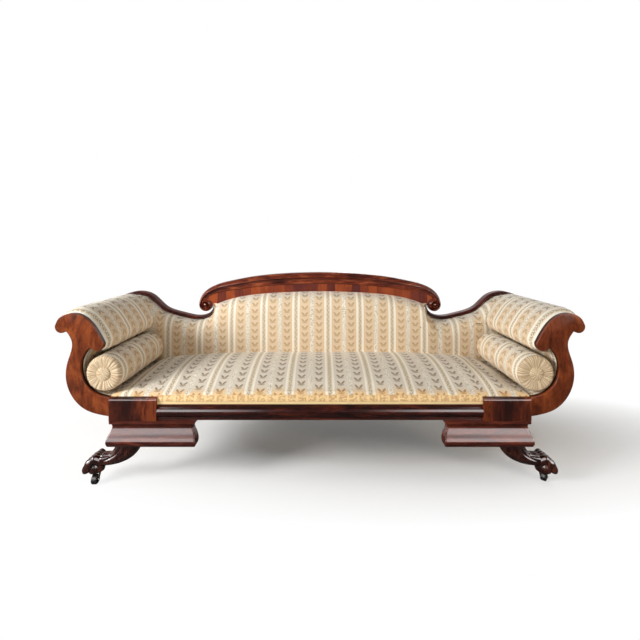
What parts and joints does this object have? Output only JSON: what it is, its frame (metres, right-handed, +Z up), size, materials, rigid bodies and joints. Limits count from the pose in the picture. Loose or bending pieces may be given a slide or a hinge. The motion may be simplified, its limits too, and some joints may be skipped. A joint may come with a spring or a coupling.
{
  "type": "empire sofa",
  "caption": "Scroll-arm empire sofa with an arched crest rail, striped upholstery, loose bolsters, ogee brackets and carved paw feet on casters.",
  "frame": {"origin": "middle of the sofa's box, on the floor under the casters", "axes": "+X to the viewer's right along the seat, +Y to the back, +Z up"},
  "size_m": [2.2352, 0.64, 0.865],
  "materials": {
    "flame_mahogany": "varnished, flame figure",
    "dark_mahogany": "varnished, dark",
    "crest_veneer": "varnished, cross-banded",
    "frame_wood": "sawn, unfinished",
    "striped_fabric": "woven stripe",
    "gold_band": "plain weave",
    "webbing": "jute",
    "dust_cloth": "plain cambric",
    "caster_brass": "aged",
    "axle_steel": "worn",
    "wheel_iron": "worn"
  },
  "bodies": {
    "frame": {"left_arm_facing": "flame_mahogany", "right_arm_facing": "flame_mahogany", "left_front_block": "flame_mahogany", "right_front_block": "flame_mahogany", "front_seat_rail": "dark_mahogany", "crest_rail": "dark_mahogany", "left_front_bracket": "dark_mahogany", "right_front_bracket": "dark_mahogany", "left_front_leg": "dark_mahogany", "right_front_leg": "dark_mahogany", "left_rear_leg": "dark_mahogany", "right_rear_leg": "dark_mahogany", "left_back_moulding": "dark_mahogany", "right_back_moulding": "dark_mahogany", "crest_band": "crest_veneer", "rear_seat_rail": "frame_wood", "corner_blocks": "frame_wood", "back_lower_rail": "frame_wood", "left_seat_end_rail": "frame_wood", "right_seat_end_rail": "frame_wood", "left_seat_brace": "frame_wood", "right_seat_brace": "frame_wood", "left_arm_top_rail": "frame_wood", "right_arm_top_rail": "frame_wood", "left_rear_arm_post": "frame_wood", "right_rear_arm_post": "frame_wood", "left_back_ramp_rail": "frame_wood", "right_back_ramp_rail": "frame_wood", "left_back_stile": "frame_wood", "right_back_stile": "frame_wood", "seat_pad": "striped_fabric", "back_pad": "striped_fabric", "outside_back_cover": "striped_fabric", "left_arm_roll_pad": "striped_fabric", "right_arm_roll_pad": "striped_fabric", "left_inside_arm_pad": "striped_fabric", "right_inside_arm_pad": "striped_fabric", "left_outside_arm_cover": "striped_fabric", "right_outside_arm_cover": "striped_fabric", "seat_front_band": "gold_band", "seat_webbing": "webbing", "dust_cover": "dust_cloth", "caster_plates": "caster_brass"},
    "left_front_fork": {"left_front_caster_horn": "caster_brass", "left_front_caster_axle": "axle_steel"},
    "left_front_roller": {"left_front_caster_wheel": "wheel_iron"},
    "right_front_fork": {"right_front_caster_horn": "caster_brass", "right_front_caster_axle": "axle_steel"},
    "right_front_roller": {"right_front_caster_wheel": "wheel_iron"},
    "left_rear_fork": {"left_rear_caster_horn": "caster_brass", "left_rear_caster_axle": "axle_steel"},
    "left_rear_roller": {"left_rear_caster_wheel": "wheel_iron"},
    "right_rear_fork": {"right_rear_caster_horn": "caster_brass", "right_rear_caster_axle": "axle_steel"},
    "right_rear_roller": {"right_rear_caster_wheel": "wheel_iron"},
    "left_roll_cushion": {"left_bolster": "striped_fabric", "left_bolster_buttons": "striped_fabric"},
    "right_roll_cushion": {"right_bolster": "striped_fabric", "right_bolster_buttons": "striped_fabric"}
  },
  "joints": [
    {"name": "left_front_swivel", "type": "hinge", "parent": "frame", "child": "left_front_fork", "pos_m": [-0.961, -0.2515, 0.047], "axis": [0, 0, 1], "continuous": true},
    {"name": "left_front_roll", "type": "hinge", "parent": "left_front_fork", "child": "left_front_roller", "pos_m": [-0.961, -0.2665, 0.02], "axis": [1, 0, 0], "continuous": true},
    {"name": "right_front_swivel", "type": "hinge", "parent": "frame", "child": "right_front_fork", "pos_m": [0.961, -0.2515, 0.047], "axis": [0, 0, 1], "continuous": true},
    {"name": "right_front_roll", "type": "hinge", "parent": "right_front_fork", "child": "right_front_roller", "pos_m": [0.97161, -0.24089, 0.02], "axis": [-0.7071, 0.7071, 0], "continuous": true},
    {"name": "left_rear_swivel", "type": "hinge", "parent": "frame", "child": "left_rear_fork", "pos_m": [-0.82, 0.291, 0.047], "axis": [0, 0, 1], "continuous": true},
    {"name": "left_rear_roll", "type": "hinge", "parent": "left_rear_fork", "child": "left_rear_roller", "pos_m": [-0.8341, 0.29613, 0.02], "axis": [-0.342, -0.9397, 0], "continuous": true},
    {"name": "right_rear_swivel", "type": "hinge", "parent": "frame", "child": "right_rear_fork", "pos_m": [0.82, 0.291, 0.047], "axis": [0, 0, 1], "continuous": true},
    {"name": "right_rear_roll", "type": "hinge", "parent": "right_rear_fork", "child": "right_rear_roller", "pos_m": [0.83359, 0.29734, 0.02], "axis": [-0.4226, 0.9063, 0], "continuous": true},
    {"name": "left_bolster_pull", "type": "slide", "parent": "frame", "child": "left_roll_cushion", "axis": [0, -1, 0], "range_m": [0, 0.55]},
    {"name": "right_bolster_pull", "type": "slide", "parent": "frame", "child": "right_roll_cushion", "axis": [0, -1, 0], "range_m": [0, 0.55]}
  ]
}
